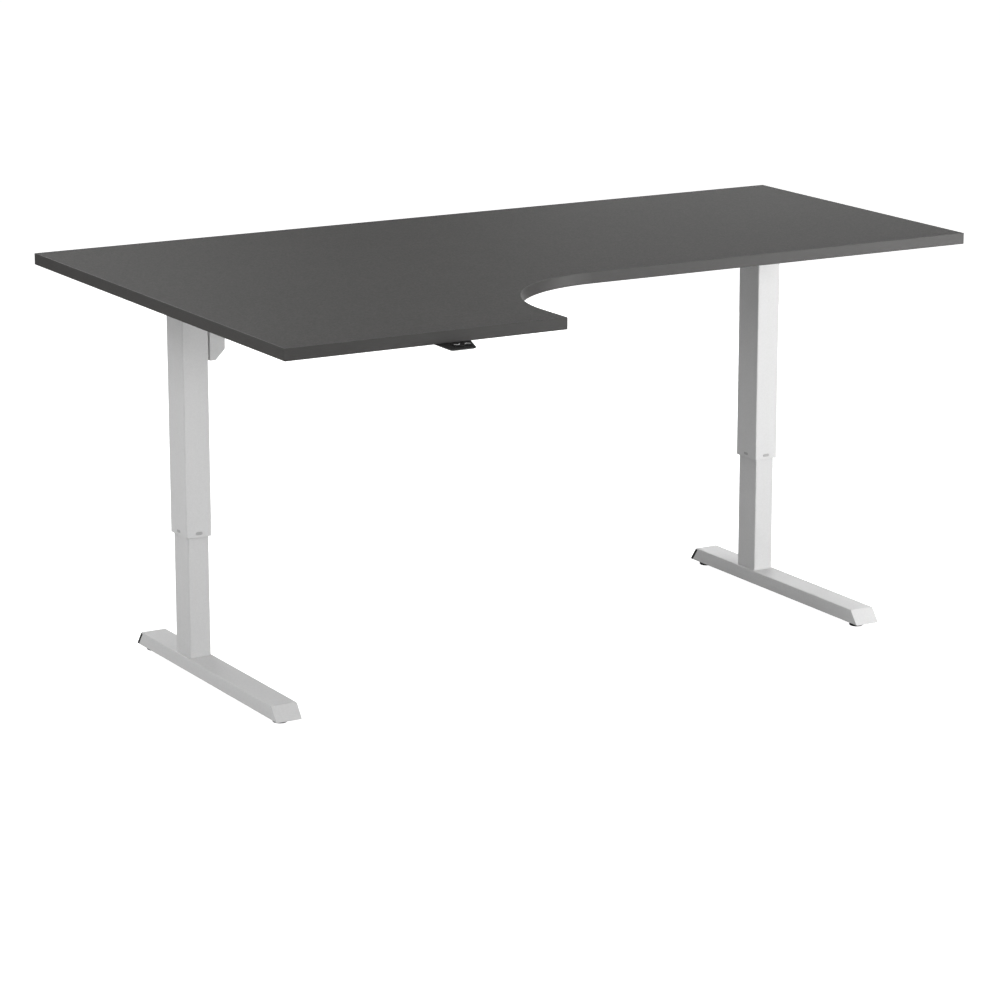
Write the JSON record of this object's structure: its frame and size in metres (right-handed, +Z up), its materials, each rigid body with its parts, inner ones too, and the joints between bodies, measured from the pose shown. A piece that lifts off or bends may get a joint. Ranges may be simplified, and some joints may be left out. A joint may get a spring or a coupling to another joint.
{
  "type": "height adjustable standing desk",
  "caption": "L-shaped work surface with a rounded cut-out on motor-driven telescopic legs with flat feet, and a control panel under its front edge.",
  "frame": {"origin": "on the floor under the middle of the desk's outline, handset included", "axes": "+X to the user's right along the back edge, +Y away from the user, +Z up"},
  "size_m": [1.9, 1.2388, 0.898],
  "materials": {
    "top_laminate": "chipboard faced with dark grey melamine, fine matt grain",
    "edge_plastic": "dark grey edge strip, satin",
    "frame_paint": "silver-grey powder coat, fine texture",
    "guide_plastic": "light grey moulded nylon",
    "bearing_plastic": "natural white acetal",
    "black_plastic": "black, fine moulded texture",
    "plain_steel": "bright zinc plated",
    "cast_aluminium": "as cast, machined faces",
    "motor_paint": "black motor can",
    "board_laminate": "green circuit board"
  },
  "bodies": {
    "base": {"glide_nuts": "plain_steel", "foot_bolts": "plain_steel", "foot_left": "frame_paint", "rear_cap_left": "black_plastic", "base_plate_left": "plain_steel", "inner_tube_left": "frame_paint", "upper_guide_left": "bearing_plastic", "push_tube_left": "plain_steel", "spindle_nut_left": "bearing_plastic", "foot_right": "frame_paint", "rear_cap_right": "black_plastic", "base_plate_right": "plain_steel", "inner_tube_right": "frame_paint", "upper_guide_right": "bearing_plastic", "push_tube_right": "plain_steel", "spindle_nut_right": "bearing_plastic"},
    "lift": {"control_board": "board_laminate", "control_box": "black_plastic", "control_sockets": "black_plastic", "crossbeam": "frame_paint", "edge_band": "edge_plastic", "frame_screws": "plain_steel", "gearbox_base_left": "cast_aluminium", "gearbox_base_right": "cast_aluminium", "gearbox_bolts": "plain_steel", "gearbox_cover_left": "cast_aluminium", "gearbox_cover_right": "cast_aluminium", "handset_body": "black_plastic", "lower_guide_left": "guide_plastic", "lower_guide_right": "guide_plastic", "motor": "motor_paint", "motor_bracket": "frame_paint", "motor_housing": "frame_paint", "motor_screws": "plain_steel", "outer_tube_left": "frame_paint", "outer_tube_right": "frame_paint", "side_arm_left": "frame_paint", "side_arm_right": "frame_paint", "tabletop": "top_laminate", "thrust_bearing_left": "plain_steel", "thrust_bearing_right": "plain_steel", "wood_screws": "plain_steel"},
    "spindle_left_body": {"spindle_left": "plain_steel", "spindle_gear_left": "plain_steel"},
    "spindle_right_body": {"spindle_right": "plain_steel", "spindle_gear_right": "plain_steel"},
    "glide_left_front": {"glide_pad_left_front": "black_plastic", "glide_stem_left_front": "plain_steel"},
    "glide_left_rear": {"glide_pad_left_rear": "black_plastic", "glide_stem_left_rear": "plain_steel"},
    "glide_right_front": {"glide_pad_right_front": "black_plastic", "glide_stem_right_front": "plain_steel"},
    "glide_right_rear": {"glide_pad_right_rear": "black_plastic", "glide_stem_right_rear": "plain_steel"},
    "cross_shaft": {"hex_shaft": "plain_steel", "shaft_gears": "plain_steel"},
    "motor_output": {"motor_gear": "plain_steel"},
    "key_down": {"button_down": "black_plastic"},
    "key_up": {"button_up": "black_plastic"}
  },
  "joints": [
    {"name": "height_lift", "type": "slide", "parent": "base", "child": "lift", "axis": [0, 0, 1], "range_m": [-0.248, 0.152]},
    {"name": "spindle_spin_left", "type": "hinge", "parent": "lift", "child": "spindle_left_body", "pos_m": [-0.735, 0.3104, 0.845], "axis": [0, 0, 1], "range_deg": [-5586, 3426]},
    {"name": "spindle_spin_right", "type": "hinge", "parent": "lift", "child": "spindle_right_body", "pos_m": [0.735, 0.3104, 0.845], "axis": [0, 0, 1], "range_deg": [-5586, 3426]},
    {"name": "shaft_spin", "type": "hinge", "parent": "lift", "child": "cross_shaft", "pos_m": [0, 0.3104, 0.845], "axis": [1, 0, 0], "range_deg": [-5586, 3426]},
    {"name": "motor_spin", "type": "hinge", "parent": "lift", "child": "motor_output", "pos_m": [-0.6777, 0.3104, 0.845], "axis": [0, 0, 1], "range_deg": [-5586, 3426]},
    {"name": "press_down", "type": "slide", "parent": "lift", "child": "key_down", "axis": [0, 0.0975, -0.9952], "range_m": [0, 0.001], "stiffness_N_per_m": 600, "springref_m": -0.001},
    {"name": "press_up", "type": "slide", "parent": "lift", "child": "key_up", "axis": [0, 0.0975, -0.9952], "range_m": [0, 0.001], "stiffness_N_per_m": 600, "springref_m": -0.001},
    {"name": "level_left_front", "type": "slide", "parent": "base", "child": "glide_left_front", "axis": [0, 0, -1], "range_m": [0, 0.008]},
    {"name": "level_left_rear", "type": "slide", "parent": "base", "child": "glide_left_rear", "axis": [0, 0, -1], "range_m": [0, 0.008]},
    {"name": "level_right_front", "type": "slide", "parent": "base", "child": "glide_right_front", "axis": [0, 0, -1], "range_m": [0, 0.008]},
    {"name": "level_right_rear", "type": "slide", "parent": "base", "child": "glide_right_rear", "axis": [0, 0, -1], "range_m": [0, 0.008]}
  ],
  "couplings": [
    {"joint": "spindle_spin_left", "follows": "height_lift", "rad_per_m": 392.7},
    {"joint": "spindle_spin_right", "follows": "height_lift", "rad_per_m": 392.7},
    {"joint": "shaft_spin", "follows": "height_lift", "rad_per_m": 392.7},
    {"joint": "motor_spin", "follows": "height_lift", "rad_per_m": 392.7}
  ]
}
